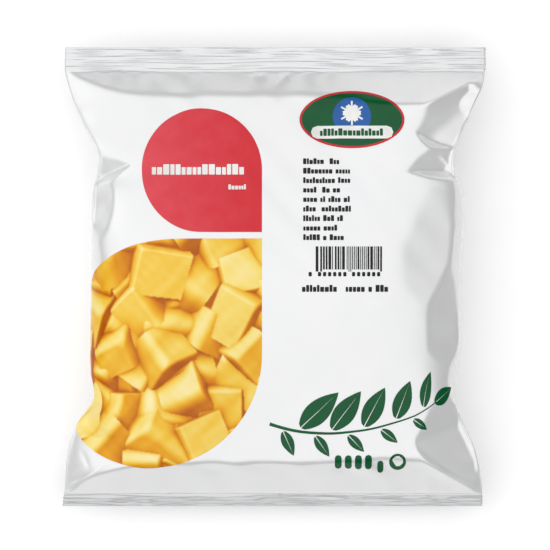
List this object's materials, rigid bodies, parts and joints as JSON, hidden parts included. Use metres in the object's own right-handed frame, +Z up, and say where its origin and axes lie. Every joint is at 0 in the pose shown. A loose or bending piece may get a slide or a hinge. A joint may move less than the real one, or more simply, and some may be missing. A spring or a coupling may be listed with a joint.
{
  "type": "frozen fruit bag",
  "caption": "Shut pillow bag of glossy white film, filled and lying on its back, with a flat crimped seal band across each end and creased corners.",
  "frame": {"origin": "under the middle of the bag, on its resting face", "axes": "+X across the bag to the right of the printed side, +Y along the bag towards the upper seal band, +Z up out of the printed side"},
  "size_m": [0.2122, 0.2304, 0.0624],
  "materials": {
    "film": "glossy white packing film, softly creased",
    "print": "ink printed under the film's gloss"
  },
  "bodies": {
    "root": {"bag": "film"}
  },
  "joints": []
}
